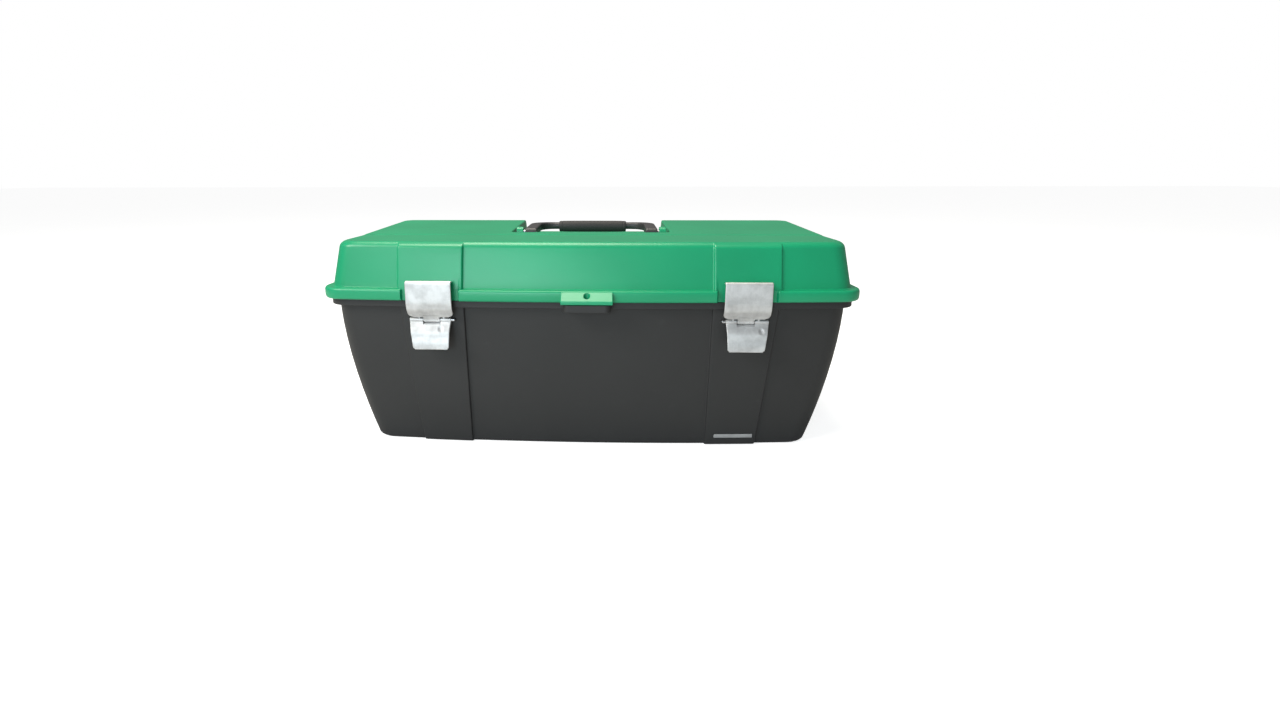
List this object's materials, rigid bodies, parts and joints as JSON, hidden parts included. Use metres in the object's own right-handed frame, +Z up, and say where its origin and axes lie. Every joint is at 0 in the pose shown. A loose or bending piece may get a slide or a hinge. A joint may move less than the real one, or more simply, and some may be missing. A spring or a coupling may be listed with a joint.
{
  "type": "toolbox with tray",
  "caption": "Portable plastic toolbox with a hinged lid, fold-down carrying handle, over-centre draw latches and a lift-out divided tray.",
  "frame": {"origin": "middle of the tub's flat bottom, on the surface that the box stands on", "axes": "+X along the box to the right as seen from the front, +Y to the back where the hinges are, +Z up"},
  "size_m": [0.56, 0.3034, 0.23],
  "materials": {
    "lid_plastic": "satin moulded green plastic",
    "tub_plastic": "fine textured dark grey plastic",
    "tray_plastic": "moulded dark grey plastic",
    "handle_plastic": "moulded black plastic",
    "grip_plastic": "textured black plastic sleeve",
    "latch_steel": "zinc plated pressed sheet",
    "bracket_steel": "zinc plated",
    "pin_steel": "zinc plated wire",
    "plate_metal": "brushed, blank"
  },
  "bodies": {
    "tub": {"base_tub": "tub_plastic", "hinge_pin_left": "pin_steel", "hinge_pin_right": "pin_steel", "latch_bracket_left": "bracket_steel", "latch_bracket_right": "bracket_steel", "bracket_rivets_left": "bracket_steel", "bracket_rivets_right": "bracket_steel", "pivot_pin_left": "pin_steel", "pivot_pin_right": "pin_steel", "nameplate": "plate_metal"},
    "lid": {"lid_shell": "lid_plastic", "handle_pin_left": "pin_steel", "handle_pin_right": "pin_steel"},
    "handle": {"handle_bail": "handle_plastic", "handle_grip": "grip_plastic"},
    "tray": {"tray": "tray_plastic"},
    "lever_left": {"latch_lever_left": "latch_steel", "link_pin_left": "pin_steel"},
    "lever_right": {"latch_lever_right": "latch_steel", "link_pin_right": "pin_steel"},
    "claw_left": {"latch_claw_left": "latch_steel"},
    "claw_right": {"latch_claw_right": "latch_steel"}
  },
  "joints": [
    {"name": "lid_hinge", "type": "hinge", "parent": "tub", "child": "lid", "pos_m": [0, 0.142, 0.164], "axis": [-1, 0, 0], "range_deg": [0, 100]},
    {"name": "handle_pivot", "type": "hinge", "parent": "lid", "child": "handle", "pos_m": [0, 0, 0.222], "axis": [1, 0, 0], "range_deg": [0, 90]},
    {"name": "lever_left_pivot", "type": "hinge", "parent": "tub", "child": "lever_left", "pos_m": [-0.161, -0.1362, 0.152], "axis": [-1, 0, 0], "range_deg": [0, 80]},
    {"name": "lever_right_pivot", "type": "hinge", "parent": "tub", "child": "lever_right", "pos_m": [0.161, -0.1362, 0.152], "axis": [-1, 0, 0], "range_deg": [0, 80]},
    {"name": "claw_left_link", "type": "hinge", "parent": "lever_left", "child": "claw_left", "pos_m": [-0.161, -0.1354, 0.1436], "axis": [-1, 0, 0], "range_deg": [-89, 1]},
    {"name": "claw_right_link", "type": "hinge", "parent": "lever_right", "child": "claw_right", "pos_m": [0.161, -0.1354, 0.1436], "axis": [-1, 0, 0], "range_deg": [-89, 1]},
    {"name": "tray_lift", "type": "slide", "parent": "tub", "child": "tray", "axis": [0, 0, 1], "range_m": [0, 0.036]}
  ],
  "couplings": [
    {"joint": "claw_left_link", "follows": "lever_left_pivot", "ratio": -1.1},
    {"joint": "claw_right_link", "follows": "lever_right_pivot", "ratio": -1.1}
  ]
}
